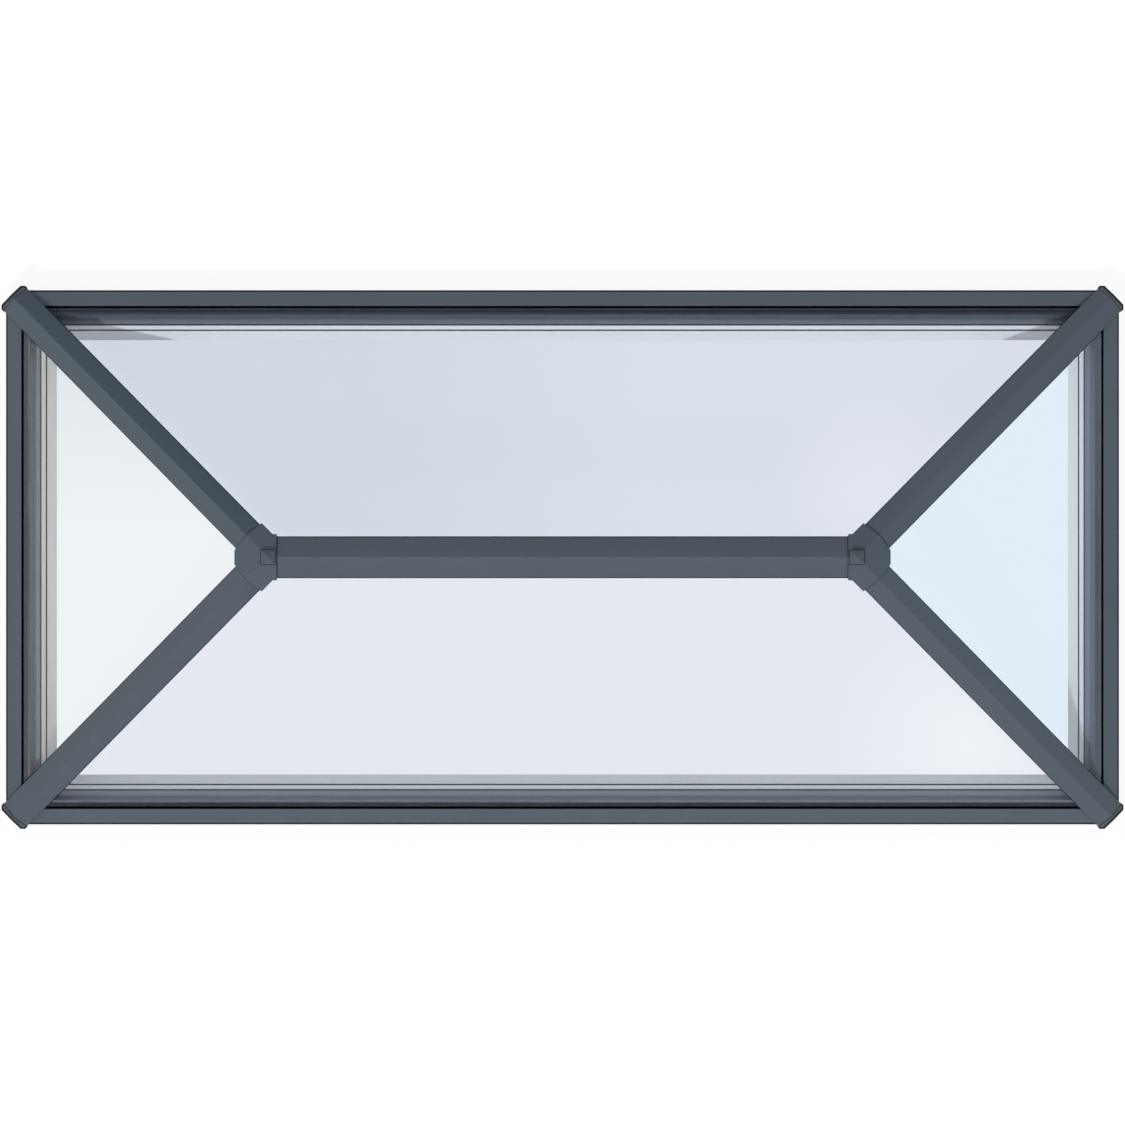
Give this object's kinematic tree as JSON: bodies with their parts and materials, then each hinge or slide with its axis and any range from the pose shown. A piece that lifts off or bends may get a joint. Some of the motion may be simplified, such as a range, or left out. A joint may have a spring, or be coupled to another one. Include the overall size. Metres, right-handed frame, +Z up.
{
  "type": "roof lantern",
  "caption": "Rectangular hipped roof lantern: coated aluminium ring frame, sloping sealed glass units, hip and ridge bars with outer cappings, hub covers and small square finials.",
  "frame": {"origin": "middle of the footprint, in the plane of the frame's underside, where it rests on the kerb", "axes": "+X along the ridge, +Y from the front long side to the back long side, +Z up"},
  "size_m": [2.0162, 0.9762, 0.3232],
  "materials": {
    "anthracite_coating": "satin anthracite powder coating on aluminium",
    "white_coating": "satin white powder coating on aluminium",
    "break_plastic": "matt black glass-filled plastic",
    "gasket_rubber": "matt black rubber",
    "seal_rubber": "matt charcoal sealant",
    "spacer_foam": "grey warm-edge spacer",
    "glass": "clear sealed double glazing"
  },
  "bodies": {
    "root": {"frame_front": "anthracite_coating", "frame_back": "anthracite_coating", "frame_left": "anthracite_coating", "frame_right": "anthracite_coating", "inner_frame_front": "white_coating", "inner_frame_back": "white_coating", "inner_frame_left": "white_coating", "inner_frame_right": "white_coating", "inner_trim_front": "white_coating", "inner_trim_back": "white_coating", "inner_trim_left": "white_coating", "inner_trim_right": "white_coating", "thermal_breaks": "break_plastic", "edge_gaskets": "gasket_rubber", "bed_gaskets": "gasket_rubber", "cap_gaskets": "gasket_rubber", "glass_front": "glass", "glass_back": "glass", "glass_left": "glass", "glass_right": "glass", "spacer_front": "spacer_foam", "spacer_back": "spacer_foam", "spacer_left": "spacer_foam", "spacer_right": "spacer_foam", "edge_seals": "seal_rubber", "hip_bar_front_left": "white_coating", "hip_bar_front_right": "white_coating", "hip_bar_back_left": "white_coating", "hip_bar_back_right": "white_coating", "ridge_beam": "white_coating", "boss_left": "white_coating", "boss_right": "white_coating", "hip_cap_front_left": "anthracite_coating", "hip_cap_front_right": "anthracite_coating", "hip_cap_back_left": "anthracite_coating", "hip_cap_back_right": "anthracite_coating", "ridge_cap": "anthracite_coating", "end_cap_front_left": "anthracite_coating", "end_cap_front_right": "anthracite_coating", "end_cap_back_left": "anthracite_coating", "end_cap_back_right": "anthracite_coating", "hub_cover_left": "anthracite_coating", "hub_cover_right": "anthracite_coating", "finial_left": "anthracite_coating", "finial_right": "anthracite_coating"}
  },
  "joints": []
}
